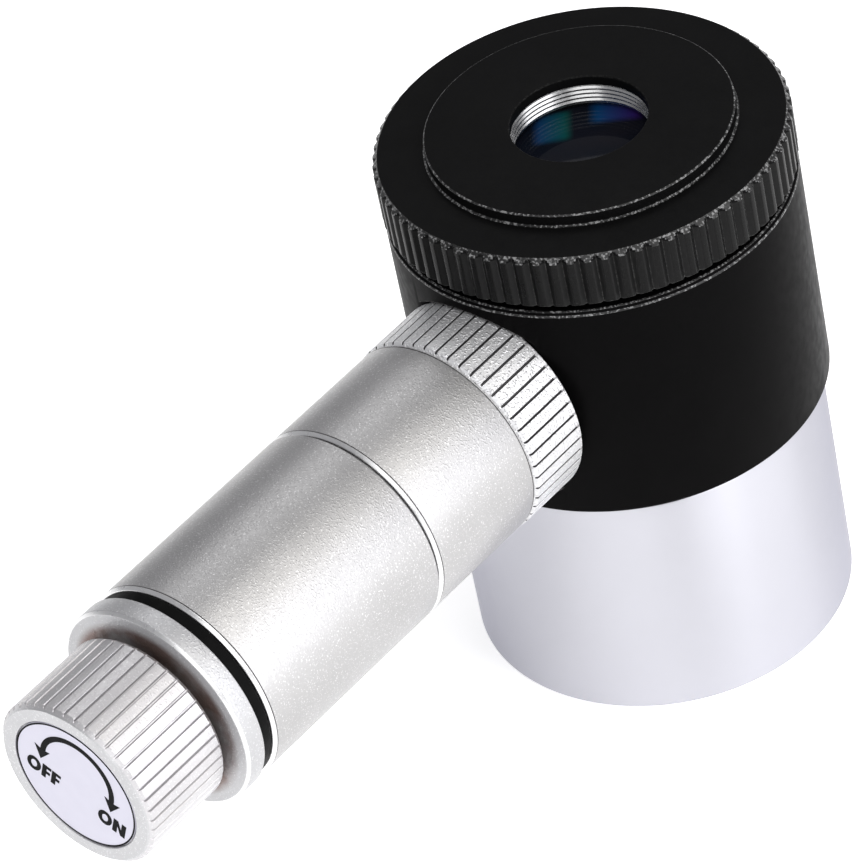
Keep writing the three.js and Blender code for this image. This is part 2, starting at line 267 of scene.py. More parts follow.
def second_look(made, look, chosen):
    """Gives the faces whose middle, in millimetres, passes the test another material."""
    made.data.materials.append(look)
    for face in made.data.polygons:
        if chosen(face.center / MM):
            face.material_index = len(made.data.materials) - 1


def lamp_place(at):
    """Distance from the lamp tube's axis and distance along it, in millimetres."""
    return math.hypot(at.x, at.z - LAMP_HEIGHT / MM), -at.y


def from_optical_axis(at):
    """Distance from the optical axis."""
    return math.hypot(at.x, at.y)


def on_edges(*corners):
    """Tests for the faces that round off these corners of an upright turned piece."""
    near = 0.09
    return lambda at: any(
        abs(from_optical_axis(at) - radius) < near and abs(at.z - height) < near for radius, height in corners
    )


def beyond(radius, along):
    """Tests for the faces of a piece of the lamp tube that lie further out and further along than these."""
    return lambda at: lamp_place(at)[0] > radius and lamp_place(at)[1] > along


def cut_into(radius, start, end, chamfer):
    """Tests for the walls of grooves in a round surface of the lamp tube, chamfered at its outer end, which get
    painted shade.
    """
    shallowest, deepest, margin = 0.03, 0.3, 0.04

    def test(at):
        out, along = lamp_place(at)
        depth = radius - max(0, along - (end - chamfer)) - out
        return shallowest < depth < deepest and start < along < end - margin
    return test


def cut_away(made, *tools):
    """Cuts closed shapes out of a piece and keeps the result as its mesh."""
    helpers = []
    for shape, place in tools:
        helper = bpy.data.objects.new("cutter", to_mesh("cutter", shape, place))
        bpy.context.scene.collection.objects.link(helper)
        cut = made.modifiers.new("cut", "BOOLEAN")
        cut.operation = "DIFFERENCE"
        cut.solver = "EXACT"
        cut.object = helper
        helpers.append(helper)
    bpy.context.view_layer.update()
    result = bpy.data.meshes.new_from_object(made.evaluated_get(bpy.context.evaluated_depsgraph_get()))
    made.modifiers.clear()
    made.data = result
    shell = bmesh.new()
    shell.from_mesh(result)
    bmesh.ops.remove_doubles(shell, verts=shell.verts, dist=WELD)
    bmesh.ops.dissolve_degenerate(shell, edges=shell.edges, dist=WELD)
    shell.to_mesh(result)
    shell.free()
    finish_mesh(result)
    for helper in helpers:
        bpy.data.objects.remove(helper)


# ---------------------------------------------------------------- material nodes
def new_look(name):
    """A material, its node tree and its shader."""
    look = bpy.data.materials.new(name)
    look.use_nodes = True
    tree = look.node_tree
    tree.nodes.clear()
    output = tree.nodes.new("ShaderNodeOutputMaterial")
    surface = tree.nodes.new("ShaderNodeBsdfPrincipled")
    tree.links.new(surface.outputs["BSDF"], output.inputs["Surface"])
    return look, tree, surface


def noise(tree, per_mm, detail=2.0, stretch=(1, 1, 1), roughness=0.5):
    """Noise that stays with the object, its grain given in cells per millimetre."""
    place = tree.nodes.new("ShaderNodeTexCoord")
    scale = tree.nodes.new("ShaderNodeMapping")
    scale.inputs["Scale"].default_value = [per_mm * s / MM for s in stretch]
    tree.links.new(place.outputs["Object"], scale.inputs["Vector"])
    texture = tree.nodes.new("ShaderNodeTexNoise")
    texture.inputs["Scale"].default_value = 1
    texture.inputs["Detail"].default_value = detail
    texture.inputs["Roughness"].default_value = roughness
    tree.links.new(scale.outputs["Vector"], texture.inputs["Vector"])
    return texture.outputs["Fac"]


def spread(tree, value, low, high, from_low=0.3, from_high=0.7):
    """The value moved from one range to another."""
    ranged = tree.nodes.new("ShaderNodeMapRange")
    ranged.inputs["From Min"].default_value = from_low
    ranged.inputs["From Max"].default_value = from_high
    ranged.inputs["To Min"].default_value = low
    ranged.inputs["To Max"].default_value = high
    tree.links.new(value, ranged.inputs["Value"])
    return ranged.outputs["Result"]


def times(tree, first, second):
    """Two values multiplied."""
    product = tree.nodes.new("ShaderNodeMath")
    product.operation = "MULTIPLY"
    tree.links.new(first, product.inputs[0])
    tree.links.new(second, product.inputs[1])
    return product.outputs["Value"]


def blend_colour(tree, amount, dark, light):
    """A colour between two others. Each may be a colour or another node's output."""
    mix = tree.nodes.new("ShaderNodeMix")
    mix.data_type = "RGBA"
    tree.links.new(amount, mix.inputs["Factor"])
    for socket, colour in ((mix.inputs[6], dark), (mix.inputs[7], light)):
        if isinstance(colour, tuple):
            socket.default_value = (*colour, 1)
        else:
            tree.links.new(colour, socket)
    return mix.outputs[2]


def bump(tree, height, depth_mm, under=None):
    """A normal bent by a height, over the one under it."""
    node = tree.nodes.new("ShaderNodeBump")
    node.inputs["Strength"].default_value = 1
    node.inputs["Distance"].default_value = depth_mm * MM
    tree.links.new(height, node.inputs["Height"])
    if under is not None:
        tree.links.new(under, node.inputs["Normal"])
    return node.outputs["Normal"]


def edges(tree, width_mm, broken_per_mm, most):
    """The worn share of the surface: up to most along its edges, broken up by noise, and 0 elsewhere. On black
    anodised parts the lighter edges are also painted highlights.

    An edge is where the normal of a surface rounded over width_mm turns away from the real one.
    """
    rounded = tree.nodes.new("ShaderNodeBevel")
    rounded.samples = 3
    rounded.inputs["Radius"].default_value = width_mm * MM
    shape = tree.nodes.new("ShaderNodeNewGeometry")
    dot = tree.nodes.new("ShaderNodeVectorMath")
    dot.operation = "DOT_PRODUCT"
    tree.links.new(rounded.outputs["Normal"], dot.inputs[0])
    tree.links.new(shape.outputs["Normal"], dot.inputs[1])
    fully_turned, hardly_turned = 0.82, 0.985
    worn = spread(tree, dot.outputs["Value"], 1, 0, fully_turned, hardly_turned)
    return times(tree, worn, spread(tree, noise(tree, broken_per_mm, 3), 0.1 * most, most, 0.42, 0.62))


def near_lamp_axis(tree, near, far):
    """1 nearer to the lamp tube's axis than one distance, fading to 0 at another, in millimetres."""
    place = tree.nodes.new("ShaderNodeTexCoord")
    across = tree.nodes.new("ShaderNodeMapping")
    across.inputs["Location"].default_value = (0, 0, -LAMP_HEIGHT / MM)
    across.inputs["Scale"].default_value = (1 / MM, 0, 1 / MM)
    tree.links.new(place.outputs["Object"], across.inputs["Vector"])
    length = tree.nodes.new("ShaderNodeVectorMath")
    length.operation = "LENGTH"
    tree.links.new(across.outputs["Vector"], length.inputs[0])
    return spread(tree, length.outputs["Value"], 1, 0, near, far)


# Turning lines are noise stretched across the axis that they run round.
UPRIGHT_LINES = (0.02, 0.02, 1)
LAMP_LINES = (0.02, 1, 0.02)


def metal(name, colour, roughness, vary=0.04, grain=5.0, grain_depth=0.002, grit_and_glints=None,
          lines=None, line_depth=0.0, wear=0.5, edge_tint=(1, 1, 1), metallic=1.0,
          turned_about=None, cloud=0.95, knob_foot_shade=None):
    """Bare or clear-anodised metal, uneven, with blasted grain or turning lines and rubbed edges.

    vary is how much the roughness varies, and grain the cells per millimetre of its surface. grit is (cells per
    millimetre, depth, brightness) of scattered specks: bumps of real grit, and white glints painted into the
    colour. lines is how turning lines are stretched along each axis. turned_about is the axis that turning
    marks run round, which stretches reflections along it. cloud is how dark the colour gets. The last argument
    is the two distances from the lamp tube's axis that a painted bronze shade round the knob's foot fades
    between, and its colour.
    """
    look, tree, surface = new_look(name)
    surface.inputs["Metallic"].default_value = metallic
    surface.inputs["Specular Tint"].default_value = (*edge_tint, 1)
    shade = tuple(c * cloud for c in colour)
    rubbed = tuple(min(1, c * 1.3) for c in colour)
    base = blend_colour(tree, spread(tree, noise(tree, 0.22, 3), 0, 1, 0.35, 0.65), shade, colour)
    base = blend_colour(tree, edges(tree, 0.12, 1.5, wear), base, rubbed)
    if grit_and_glints:
        cells, depth, brightness = grit_and_glints
        # painted glints: white specks mixed into the colour for the grit's sparkle
        painted_glint = spread(tree, noise(tree, cells * 1.1, 1), 0, brightness, 0.62, 0.7)
        base = blend_colour(tree, painted_glint, base, (1, 1, 1))
    # painted shade: a bronze darkening round the knob's foot on the cap's face
    if knob_foot_shade:
        distances, knob_foot_shade_colour = knob_foot_shade
        patches = spread(tree, noise(tree, 0.25, 3), 0.35, 1, 0.4, 0.6)
        base = blend_colour(tree, times(tree, near_lamp_axis(tree, *distances), patches), base, knob_foot_shade_colour)
    tree.links.new(base, surface.inputs["Base Color"])
    if turned_about:
        surface.inputs["Anisotropic"].default_value = 0.85
        surface.inputs["Anisotropic Rotation"].default_value = 0.25
        around = tree.nodes.new("ShaderNodeTangent")
        around.direction_type = "RADIAL"
        around.axis = turned_about
        tree.links.new(around.outputs["Tangent"], surface.inputs["Tangent"])
    rough = spread(tree, noise(tree, grain * 0.4, 3), roughness - vary, roughness + vary)
    tree.links.new(rough, surface.inputs["Roughness"])
    normal = bump(tree, noise(tree, grain, 2), grain_depth)
    if grit_and_glints:
        specks = spread(tree, noise(tree, cells, 0), 0, 1, 0.56, 0.74)
        normal = bump(tree, specks, depth, normal)
    if lines:
        normal = bump(tree, noise(tree, 9, 2, lines), line_depth, normal)
    tree.links.new(normal, surface.inputs["Normal"])
    return look


def black_metal(name, base, worn, roughness, grain_depth, specular, wear=(0.1, 1.5, 1.0), flecks=None):
    """Black anodised aluminium: deep, slightly uneven, rubbed bare along its edges, and lighter there also as
    painted highlight.

    wear is what edges() takes. flecks is the number per millimetre of bare flecks all over a surface that is
    itself an edge. The rubbed edges and flecks are wear and also painted highlights and glints.
    """
    look, tree, surface = new_look(name)
    surface.inputs["Specular IOR Level"].default_value = specular
    cloud = spread(tree, noise(tree, 0.3, 4), 0, 1)
    speck = spread(tree, noise(tree, 5, 3), 0, 0.25, 0.35, 0.75)
    uneven = blend_colour(tree, cloud, tuple(c * 0.75 for c in base), base)
    dusty = blend_colour(tree, speck, uneven, tuple(c * 2.4 for c in base))
    # rubbed bare edges and flecks, which also paint the highlights and glints along edges
    bare = spread(tree, noise(tree, flecks, 2), 0, 1, 0.5, 0.64) if flecks else edges(tree, *wear)
    colour = blend_colour(tree, bare, dusty, worn)
    tree.links.new(colour, surface.inputs["Base Color"])
    rough = spread(tree, noise(tree, 1.2, 4), roughness - 0.05, roughness + 0.07)
    tree.links.new(rough, surface.inputs["Roughness"])
    tree.links.new(bump(tree, noise(tree, 7, 3), grain_depth), surface.inputs["Normal"])
    return look


def moulded(name, colour, shade, roughness, grain_depth=0.002, grain=6.0, coat=0.0, specular=0.5):
    """Plastic, rubber, paint or print: a little mottled, with a fine surface grain."""
    look, tree, surface = new_look(name)
    surface.inputs["Coat Weight"].default_value = coat
    surface.inputs["Specular IOR Level"].default_value = specular
    cloud = spread(tree, noise(tree, 0.7, 4), 0, 1)
    tree.links.new(blend_colour(tree, cloud, shade, colour), surface.inputs["Base Color"])
    rough = spread(tree, noise(tree, 1.5, 3), roughness - 0.06, roughness + 0.06)
    tree.links.new(rough, surface.inputs["Roughness"])
    tree.links.new(bump(tree, noise(tree, grain, 3), grain_depth), surface.inputs["Normal"])
    return look


REFLECTION_WINDOW_TURN = math.radians(-38.8)  # turn of the painted reflection windows about the optical axis


def reflection_window(tree, centre, half, blur):
    """1 inside a soft-edged window of painted reflection on the lens, and the distance across it.

    centre, half its size and blur are in millimetres along the window's turned axes.
    """
    place = tree.nodes.new("ShaderNodeTexCoord")
    turn = tree.nodes.new("ShaderNodeMapping")
    turn.inputs["Scale"].default_value = (1 / MM, 1 / MM, 1 / MM)
    turn.inputs["Rotation"].default_value = (0, 0, REFLECTION_WINDOW_TURN)
    turn.inputs["Location"].default_value = (-centre[0], -centre[1], 0)
    tree.links.new(place.outputs["Object"], turn.inputs["Vector"])
    apart = tree.nodes.new("ShaderNodeSeparateXYZ")
    tree.links.new(turn.outputs["Vector"], apart.inputs["Vector"])
    sides = []
    for i in range(2):
        size = tree.nodes.new("ShaderNodeMath")
        size.operation = "ABSOLUTE"
        tree.links.new(apart.outputs[i], size.inputs[0])
        side = spread(tree, size.outputs["Value"], 1, 0, half[i] - blur, half[i] + blur)
        side.node.interpolation_type = "SMOOTHSTEP"
        sides.append(side)
    return times(tree, *sides), apart.outputs[0]


def glass_with_painted_reflections(name):
    """Dark lens glass with reflections painted into its colour: a teal window on one side and a blue to violet
    one on the other, standing in for the coating's reflections of the lights.
    """
    look, tree, surface = new_look(name)
    surface.inputs["Transmission Weight"].default_value = 0.12
    surface.inputs["IOR"].default_value = 1.5
    surface.inputs["Specular IOR Level"].default_value = 0.025
    # teal and violet are the masks of the two painted reflections
    teal, across = reflection_window(tree, (-2.5, 3.4), (1.35, 2.0), 0.5)
    violet, along = reflection_window(tree, (2.7, 5.0), (1.9, 1.75), 0.6)
    blue, green = (0.006, 0.032, 0.1), (0.004, 0.055, 0.05)
    teal_reflection_tones = blend_colour(tree, spread(tree, across, 0, 1, -1.2, 1.2), blue, green)
    bright_blue, purple = (0.003, 0.042, 0.13), (0.034, 0.01, 0.12)
    violet_reflection_tones = blend_colour(tree, spread(tree, along, 0, 1, -1.5, 1.8), bright_blue, purple)
    deep, less_deep = (0.004, 0.006, 0.011), (0.008, 0.008, 0.012)
    tint = blend_colour(tree, spread(tree, noise(tree, 0.3, 2), 0, 1), deep, less_deep)
    tint = blend_colour(tree, teal, tint, teal_reflection_tones)
    tree.links.new(blend_colour(tree, violet, tint, violet_reflection_tones), surface.inputs["Base Color"])
    tree.links.new(spread(tree, noise(tree, 2, 2), 0.03, 0.06), surface.inputs["Roughness"])
    return look


LOOKS = {
    "chrome": metal("satin_chrome", (0.53, 0.53, 0.57), 0.34, 0.01, 3, 0.00001, edge_tint=(0.7, 0.7, 0.75),
                    turned_about="Z", cloud=0.99),
    "black": black_metal("black_anodised", (0.0018, 0.0017, 0.0018), (0.2, 0.19, 0.19), 0.38, 0.001, 0.024),
    "black_ring": black_metal("black_knurl", (0.0035, 0.0035, 0.0036), (0.3, 0.3, 0.29), 0.38, 0.0015, 0.035,
                              (0.12, 5, 0.35)),
    "black_crest": black_metal("knurl_crest", (0.004, 0.004, 0.004), (0.2, 0.2, 0.19), 0.27, 0.001, 0.095,
                               (0.12, 5, 0.4)),
    "black_wall": black_metal("knurl_wall", (0.0065, 0.0065, 0.0065), (0.25, 0.25, 0.24), 0.33, 0.0015, 0.1,
                              (0.12, 5, 0.4)),
    # worn flecks on edges, which also stand in as painted glints and highlights
    "black_edge": black_metal("rubbed_edge_painted_glint", (0.012, 0.012, 0.012), (0.2, 0.2, 0.2), 0.35, 0.001, 0.3,
                              flecks=4.5),
    "matt": black_metal("matt_black", (0.003, 0.003, 0.003), (0.02, 0.02, 0.02), 0.75, 0.003, 0.1),
    # the last number of each grit tuple is the brightness of its painted glints
    "blasted": metal("blasted_aluminium", (0.46, 0.455, 0.455), 0.42, 0.05, 8, 0.003, (6.5, 0.008, 0.42)),
    "bright_edge": metal("bright_edge", (0.8, 0.8, 0.8), 0.3, 0.05, 5, 0.002),
    "collar": metal("collar_aluminium", (0.68, 0.68, 0.69), 0.42, 0.06, 6.5, 0.006, (5.5, 0.045, 1.0),
                    metallic=0.7),
    # painted shade: groove walls and chamfers coloured dark where shade falls
    "groove": metal("groove_painted_shade", (0.06, 0.058, 0.06), 0.5, 0.1, 5, 0.004, metallic=0.5),
    # painted shade: the knob's flute walls a little darker than its lands
    "knob_flute_painted_shade": metal("knob_flute_painted_shade", (0.5, 0.49, 0.5), 0.4, 0.1, 5, 0.004),
    "turned": metal("turned_aluminium", (0.5, 0.5, 0.51), 0.36, 0.04, 5, 0.003, (6, 0.01, 0.3), LAMP_LINES,
                    0.002, 0.8, metallic=0.7),
    # the cap carries a painted bronze shade round the knob's foot
    "cap": metal("cap_aluminium", (0.48, 0.48, 0.49), 0.4, 0.04, 5, 0.003, (6, 0.015, 0.35), LAMP_LINES,
                 0.002, 0.8, metallic=0.7, knob_foot_shade=((7.4, 8.1), (0.2, 0.14, 0.125))),
    "knob": metal("knob_aluminium", (0.57, 0.56, 0.57), 0.4, 0.05, 5, 0.003, (6, 0.01, 0.3), LAMP_LINES,
                  0.002, metallic=0.85),
    "turned_upright": metal("turned_aluminium_upright", (0.5, 0.5, 0.5), 0.25, 0.04, 5, 0.001, None,
                            UPRIGHT_LINES, 0.002),
    "brass": metal("brass", (0.6, 0.42, 0.18), 0.34, 0.06, 4),
    "nickel": metal("nickel_plate", (0.52, 0.5, 0.46), 0.26, 0.05, 4, 0.001),
    "spring": metal("spring_steel", (0.46, 0.45, 0.44), 0.3, 0.05, 5, 0.001),
    "rubber": moulded("seal_rubber", (0.003, 0.003, 0.003), (0.0015, 0.0015, 0.0015), 0.5, 0.02, 3.5,
                      specular=0.05),
    "white": moulded("white_plastic", (0.7, 0.69, 0.65), (0.62, 0.61, 0.57), 0.45),
    "dark": moulded("dark_plastic", (0.02, 0.024, 0.03), (0.014, 0.017, 0.022), 0.45),
    "board": moulded("board_green", (0.03, 0.16, 0.06), (0.02, 0.12, 0.045), 0.35),
    "red": moulded("red_lamp", (0.55, 0.02, 0.012), (0.48, 0.015, 0.01), 0.14, 0.0002, 3, 0.6),
    "label": moulded("label_face", (0.62, 0.61, 0.7), (0.6, 0.59, 0.68), 0.38, 0.0008, 5, 0.1, 0.2),
    "ink": moulded("label_ink", (0.003, 0.003, 0.0035), (0.002, 0.002, 0.0025), 0.5, 0.0008, 6, 0, 0.04),
    # glass with painted reflections in its colour, on the lenses and the reticle plate
    "glass": glass_with_painted_reflections("glass_with_painted_reflections"),
}


# ---------------------------------------------------------------- eyepiece
def barrel():
    """Nosepiece: filter thread and blackened baffle thread inside, chromed outside."""
    radius, low, top = upright("nosepiece")
    neck_radius, neck_bore, shoulder, ledge = 13.7, 12.0, 21.8, 19.5
    bore, filter_top = 14.0, 4.6
    mouth, edge = 14.35, 0.3
    outline = [(mouth, low), (radius - edge, low), (radius, low + edge), (radius, shoulder - edge)]
    outline += [(radius - edge, shoulder), (neck_radius, shoulder)]
    outline += thread(neck_radius, neck_radius - 0.2, shoulder + 0.5, top - 0.3, 0.75)
    outline += [(neck_radius - 0.2, top), (neck_bore, top), (neck_bore, ledge), (bore, ledge)]
    outline += thread(bore - 0.02, bore + 0.14, ledge - 0.3, filter_top + 0.6, 0.55)
    outline += [(bore, filter_top)]
    outline += thread(bore, bore + 0.25, filter_top - 0.1, low + 0.45, 0.6)
    made = piece("barrel", turned(soften(outline, 0.1, 2), plain(SMOOTH_SIDES)), OPTICAL_AXIS,
                 LOOKS["chrome"], "eyepiece_body", "satin_chrome", "nosepiece")

    def inside(at):
        return math.hypot(at.x, at.y) < bore + 0.2 and at.z > filter_top + 0.2
    second_look(made, LOOKS["matt"], inside)


def body():
    """Black body with the lamp's port and the flat that its collar sits on."""
    radius, low, top = upright("body_shell")
    neck, chamber, cell = 14.0, 12.6, 14.3
    neck_top, chamber_top, edge = 27.9, 35.2, 0.3
    outline = [
        (neck, low), (radius - edge, low), (radius, low + edge), (radius, top - edge), (radius - edge, top),
        (cell, top), (cell, chamber_top), (chamber, chamber_top), (chamber, neck_top), (neck, neck_top),
    ]
    made = piece("body", turned(soften(outline, 0.1), plain(SMOOTH_SIDES)), OPTICAL_AXIS, LOOKS["black"],
                 "eyepiece_body", "black_anodised", "body_shell")
    port, spot, seat, deep = 3.15, 9.4, 15.55, 10.0
    clear = radius + 2
    bars = [
        (turned([(0, start), (r, start), (r, clear), (0, clear)], plain(SMALL_SIDES), False), LAMP_AXIS)
        for r, start in ((port, deep), (spot, seat))
    ]
    cut_away(made, *bars)
    # rubbed top edge of the body, also a painted highlight
    second_look(made, LOOKS["black_edge"], on_edges((radius - edge, top), (radius, top - edge)))


def focus_ring():
    """Dioptre ring: straight knurl round the rim and a raised disc round the eye hole."""
    radius, low, high = upright("dioptre_ring")
    top, disc, hole, bore, plate_low = 47.8, 12.45, 5.55, 13.7, 47.15
    room, room_top, chamfer, rim, ribs = 8.4, 47.95, 0.42, 0.16, 78
    outline = [(bore, low), (radius - rim - 0.35, low, radius)]
    outline += line((radius - rim, low), (radius, low + rim), 4, radius)
    outline += line((radius, low + rim + 0.1), (radius, top - chamfer - 0.1), 4, radius)
    outline += line((radius, top - chamfer), (radius - chamfer, top), 6, radius)
    outline += [(radius - chamfer - 0.35, top, radius)]
    outline += soften([
        (radius - chamfer - 0.6, top), (disc + 0.12, top), (disc + 0.03, top + 0.03), (disc, top + 0.12),
        (disc, high - 0.1), (disc - 0.1, high), (hole + 0.07, high), (hole, high - 0.07), (hole, room_top),
        (room, room_top), (room, plate_low), (bore, plate_low),
    ], 0.06, 3, False)
    groove = [(0, 0), (0.12, 0), (0.17, 0.012), (0.21, 0.045), (0.33, 0.19), (0.45, 0.34), (0.5, 0.37),
              (0.55, 0.34), (0.67, 0.19), (0.79, 0.045), (0.83, 0.012), (0.88, 0)]
    made = piece("focus_ring_knurl", turned(outline, knurled(ribs, groove)), OPTICAL_AXIS,
                 LOOKS["black_ring"], "focus_ring", "black_knurled", "dioptre_ring")

    def rim_wall(at):
        return from_optical_axis(at) > radius - chamfer and at.z < top - chamfer

    def crest(at):
        return from_optical_axis(at) > radius - 0.03

    def chamfered_crest(at):
        return at.z > top - chamfer and from_optical_axis(at) + at.z > radius + top - chamfer - 0.02

    second_look(made, LOOKS["black_wall"], rim_wall)
    second_look(made, LOOKS["black_crest"], crest)
    # rubbed disc rims and top chamfer of the knurl, also painted highlights and glints
    second_look(made, LOOKS["black_edge"], on_edges((disc - 0.05, high - 0.05), (disc + 0.08, top + 0.05)))
    second_look(made, LOOKS["black_edge"], chamfered_crest)


def lens_unit():
    """Threaded cell, the bright threaded retainer, and two cemented lens pairs."""
    radius, low, high = upright("lens_cell")
    neck, bore, seat, aperture = 13.4, 8.3, 6.5, 5.6
    thread_top, seat_low, bore_low = 42.9, 36.15, 43.5
    outline = [(aperture, low), (radius - 0.2, low)]
    outline += thread(radius, radius - 0.22, low + 0.3, thread_top - 0.2, 0.8)
    outline += [(neck, thread_top), (neck, high), (bore, high), (bore, bore_low), (seat, bore_low)]
    outline += [(seat, seat_low), (aperture, seat_low)]
    piece("lens_cell_body", turned(soften(outline, 0.08), plain(SMOOTH_SIDES)), OPTICAL_AXIS, LOOKS["black"],
          "lens_unit", "black_anodised", "lens_cell")

    outer, bottom, top = upright("eye_retainer")
    crest, inner, step = 5.55, 6.55, 46.15
    outline = [(inner, bottom), (outer, bottom)] + thread(outer, outer - 0.12, bottom + 0.2, top - 0.3, 0.5)
    outline += [(outer - 0.12, top), (crest + 0.14, top)]
    outline += thread(crest, crest + 0.13, top - 0.06, step + 0.05, 0.36)
    outline += [(crest + 0.1, step), (inner, step)]
    piece("eye_lens_retainer", turned(soften(outline, 0.03, 2), plain(SMOOTH_SIDES)), OPTICAL_AXIS,
          LOOKS["turned_upright"], "lens_unit", "turned_aluminium", "eye_retainer")

    rim, _, _ = upright("eye_flint")
    flat, steep = 60, 14
    for name, nodes, lower, upper in (
        ("field_doublet", ("field_flint", "field_crown"), (35.9, flat, 1), (40.8, steep, -1)),
        ("eye_doublet", ("eye_crown", "eye_flint"), (41.1, steep, 1), (46, flat, -1)),
    ):
        outline = lens_face(rim, *lower) + lens_face(rim, *upper)[::-1]
        piece(name, turned(outline, plain(SMALL_SIDES), False), OPTICAL_AXIS, LOOKS["glass"],
              "lens_unit", "optical_glass", *nodes)


def crosshair():
    """Fine raised cross on the reticle glass, with a small open square at its middle."""
    radius, low, high = upright("reticle_glass")
    edge = 0.1
    outline = [(0, low), (radius - edge, low), (radius, low + edge)]
    outline += [(radius, high - edge), (radius - edge, high), (0, high)]
    piece("reticle_plate", turned(outline, plain(SMALL_SIDES), False), OPTICAL_AXIS, LOOKS["glass"],
          "eyepiece_body", "optical_glass", "reticle_glass")
    arm, gap, half, rise = 6.8, 0.35, 0.03, 0.02
    bars = []
    for turn in range(4):
        spin = Matrix.Rotation(turn * math.pi / 2, 2)
        for corners in (
            [(gap, -half), (arm, -half), (arm, half), (gap, half)],
            [(gap - half, -gap), (gap + half, -gap), (gap + half, gap), (gap - half, gap)],
        ):
            bars.append(plate([tuple(spin @ Vector(c)) for c in corners], high, high + rise))
    piece("crosshair_lines", together(*bars), OPTICAL_AXIS, LOOKS["ink"], "eyepiece_body", "matt_black")


# ---------------------------------------------------------------- lamp tube
NARROW_GROOVE = [(0, 0), (0.18, 0), (0.37, 0), (0.39, 0.03), (0.41, 0.15), (0.45, 0.21), (0.5, 0.22),
                 (0.55, 0.21), (0.59, 0.15), (0.61, 0.03), (0.63, 0), (0.82, 0)]
FINE_GROOVE = [(0, 0), (0.18, 0), (0.4, 0), (0.415, 0.03), (0.43, 0.15), (0.465, 0.21), (0.5, 0.22),
               (0.535, 0.21), (0.57, 0.15), (0.585, 0.03), (0.6, 0), (0.82, 0)]


def collar():
    """Knurled collar that seats on the body."""
    radius, start, end = outward("knurled_collar")
    bore, recess, recess_start, chamfer, grooves = 3.25, 7.9, 18.4, 0.42, 49
    outline = [(bore, start), (radius - 0.35, start, radius)]
    outline += line((radius - 0.15, start), (radius, start + 0.15), 2, radius)
    outline += line((radius, start + 0.3), (radius, end - chamfer - 0.1), 4, radius)
    outline += line((radius, end - chamfer), (radius - chamfer, end), 7, radius)
    outline += [(recess, end), (recess, recess_start), (bore, recess_start)]
    made = piece("collar", turned(outline, knurled(grooves, FINE_GROOVE)), LAMP_AXIS, LOOKS["collar"],
                 "lamp_shell", "blasted_aluminium", "knurled_collar")
    # painted shade in the knurl's grooves
    second_look(made, LOOKS["groove"], cut_into(radius, start + 0.3, end, chamfer))


def scribe(radius, along):
    """A fine turned line."""
    depth, half_floor, half_mouth = 0.07, 0.02, 0.05
    return [
        (radius, along - half_mouth), (radius - depth, along - half_floor),
        (radius - depth, along + half_floor), (radius, along + half_mouth),
    ]


def lamp_tube():
    """Lamp half of the tube, with the thread that the battery half screws onto."""
    _, start, end = outward("front_tube")
    radius, spigot, bore, mouth = 9.0, 7.6, 7.6, 6.6
    collar_end, seam, groove, step, coupling = 21.75, 33.5, 0.27, 24.0, 8.2
    outline = [(mouth, start), (spigot, start), (spigot, collar_end), (radius, collar_end)]
    outline += scribe(radius, collar_end + 0.1) + scribe(radius, seam - groove - 0.1)
    outline += [(radius, seam - groove), (radius - groove, seam), (coupling - 0.15, seam)]
    outline += thread(coupling, coupling - 0.17, seam + 0.3, end - 0.2, 1.0)
    outline += [(coupling - 0.17, end), (bore, end), (bore, step), (mouth, step)]
    made = piece("tube_lamp_half", turned(soften(outline, 0.06), plain(SMOOTH_SIDES)), LAMP_AXIS,
                 LOOKS["blasted"], "lamp_shell", "blasted_aluminium", "front_tube")
    second_look(made, LOOKS["bright_edge"], beyond(coupling + 0.4, seam - groove))
    # painted shade in the two scribed lines
    second_look(made, LOOKS["groove"], cut_into(radius, collar_end, seam - groove - 0.02, 0))


def battery_tube():
    """Battery half of the tube, with the socket that screws onto the lamp half."""
    _, start, end = outward("rear_tube")
    radius, bore, socket, socket_end, groove, chamfer = 9.0, 7.6, 8.5, 38.3, 0.22, 0.26
    outline = [(socket, start), (radius - groove, start), (radius, start + groove)]
    outline += scribe(radius, end - 0.36)
    outline += [(radius, end - chamfer), (radius - groove, end), (bore, end)]
    outline += [(bore, socket_end), (socket, socket_end)]
    outline += thread(socket - 0.02, socket - 0.16, socket_end - 0.2, start + 0.3, 1.0)
    made = piece("tube_battery_half", turned(soften(outline, 0.06), plain(SMOOTH_SIDES)), LAMP_AXIS,
                 LOOKS["blasted"], "battery_shell", "blasted_aluminium", "rear_tube")
    second_look(made, LOOKS["bright_edge"], beyond(socket + 0.1, end - chamfer - 0.01))
    # painted shade in the scribed line and on the chamfer at its inner end
    second_look(made, LOOKS["groove"], cut_into(radius, start - 0.1, end - chamfer - 0.02, 0))


def seal():
    """Rubber ring between the tube and the cap."""
    radius, start, end = outward("seal_ring")
    inner = 7.4
    outline = [(inner, start), (radius, start), (radius, end), (inner, end)]
    piece("seal", turned(soften(outline, 0.18, 5), plain(SMOOTH_SIDES)), LAMP_AXIS, LOOKS["rubber"],
          "battery_shell", "seal_rubber", "seal_ring")


def cap():
    """End cap, with the flange that shows behind the knob."""
    radius, start, end = outward("end_cap")
    bore, spigot, flange, chamfer = 3.3, 7.3, 54.8, 0.26
    outline = [(bore, start), (spigot, start), (spigot, flange), (radius, flange), (radius, end - chamfer),
               (radius - chamfer, end), (bore, end)]
    made = piece("cap", turned(soften(outline, 0.07), plain(SMOOTH_SIDES)), LAMP_AXIS, LOOKS["cap"],
                 "battery_shell", "turned_aluminium", "end_cap")
    second_look(made, LOOKS["bright_edge"], beyond(radius - chamfer, end - chamfer))


